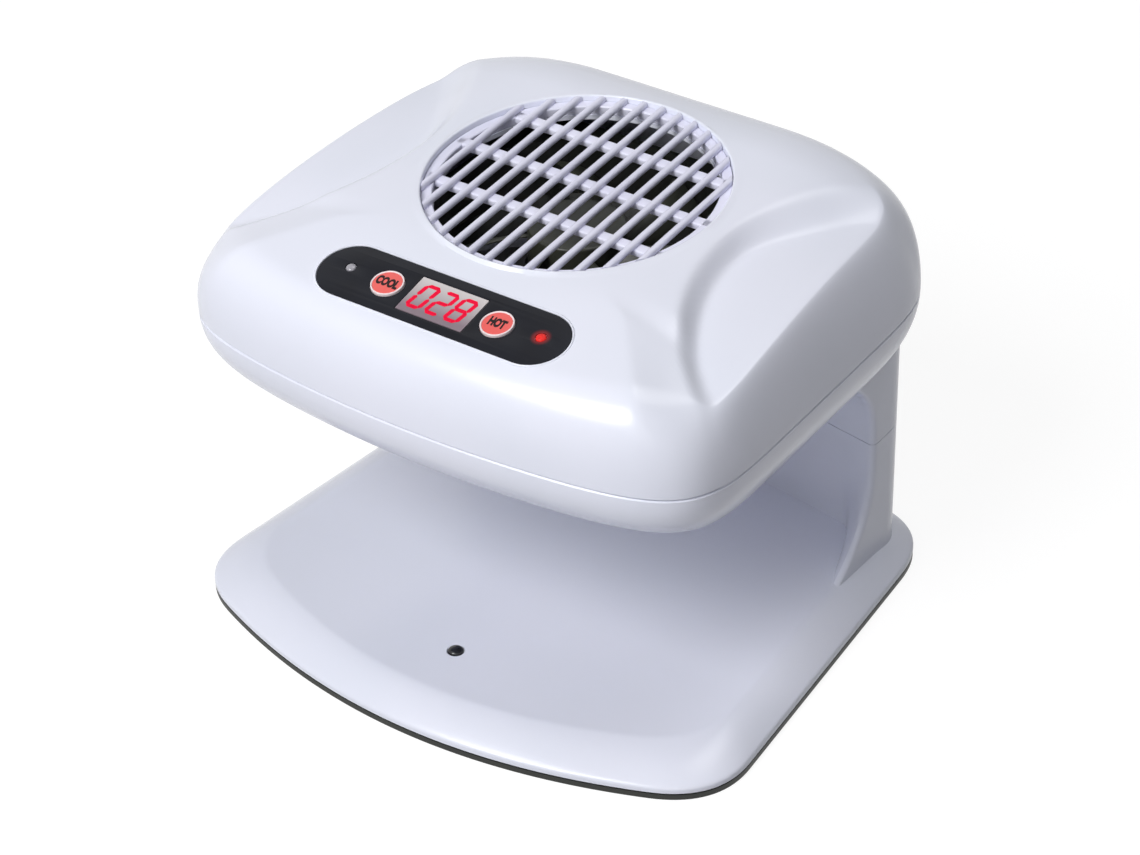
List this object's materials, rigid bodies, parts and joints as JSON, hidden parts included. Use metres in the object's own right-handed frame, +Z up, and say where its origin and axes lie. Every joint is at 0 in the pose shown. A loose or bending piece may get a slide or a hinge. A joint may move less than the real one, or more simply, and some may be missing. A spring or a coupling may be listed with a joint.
{
  "type": "nail dryer",
  "caption": "Nail polish fan dryer: a flat base for the hand, a column at the back, and a rounded head with a round grille, a fan over a heater, and a black panel with push buttons.",
  "frame": {"origin": "on the table surface, under the middle of the whole dryer", "axes": "+X towards the right as seen by the user, +Y towards the back column, +Z up"},
  "size_m": [0.2528, 0.231, 0.1892],
  "materials": {
    "white_plastic": "gloss",
    "black_plastic": "satin",
    "label_black": "gloss",
    "coral_plastic": "satin",
    "silver_window": "gloss",
    "black_lens": "gloss",
    "red_lamp": "gloss",
    "clear_lamp": "gloss",
    "board_green": "satin",
    "component_black": "satin",
    "steel": "satin",
    "copper": "satin",
    "heater_wire": "satin",
    "mica": "matte",
    "rubber": "matte",
    "laminate": "satin",
    "relay_blue": "satin",
    "fuse_glass": "gloss"
  },
  "bodies": {
    "housing": {"base_shell": "white_plastic", "bottom_plate": "black_plastic", "foot_1": "rubber", "foot_2": "rubber", "foot_3": "rubber", "foot_4": "rubber", "bottom_screw_1": "steel", "bottom_screw_2": "steel", "bottom_screw_3": "steel", "bottom_screw_4": "steel", "sensor_lens": "black_lens", "sensor_board": "board_green", "cord_gland": "rubber", "lower_cover": "white_plastic", "upper_cover": "white_plastic", "column_screw_1": "steel", "column_screw_2": "steel", "head_screw_1": "steel", "head_screw_2": "steel", "head_screw_3": "steel", "head_screw_4": "steel", "inlet_grille": "white_plastic", "outlet_grille": "white_plastic", "fan_frame": "black_plastic", "fan_stator": "copper", "fan_screw_1": "steel", "fan_screw_2": "steel", "fan_screw_3": "steel", "fan_screw_4": "steel", "air_duct": "black_plastic", "heater_frame": "mica", "heater_coil": "heater_wire", "thermostat": "steel", "panel_label": "label_black", "display_window": "silver_window", "display_module": "component_black", "control_board": "board_green", "tact_switch_cool": "component_black", "tact_switch_hot": "component_black", "led_cool": "clear_lamp", "led_hot": "red_lamp", "board_screw_1": "steel", "board_screw_2": "steel", "power_board": "board_green", "transformer": "laminate", "relay": "relay_blue", "capacitor": "component_black", "fuse": "fuse_glass", "power_screw_1": "steel", "power_screw_2": "steel"},
    "rotor": {"fan_rotor": "black_plastic"},
    "cool_button": {"cool_button": "coral_plastic"},
    "hot_button": {"hot_button": "coral_plastic"}
  },
  "joints": [
    {"name": "fan_spin", "type": "hinge", "parent": "housing", "child": "rotor", "pos_m": [0, 0.0124, 0.157], "axis": [0, 0, 1], "continuous": true},
    {"name": "cool_press", "type": "slide", "parent": "housing", "child": "cool_button", "axis": [0, 0.2079, -0.9781], "range_m": [0, 0.0008], "stiffness_N_per_m": 800, "springref_m": -0.0005},
    {"name": "hot_press", "type": "slide", "parent": "housing", "child": "hot_button", "axis": [0, 0.2079, -0.9781], "range_m": [0, 0.0008], "stiffness_N_per_m": 800, "springref_m": -0.0005}
  ]
}
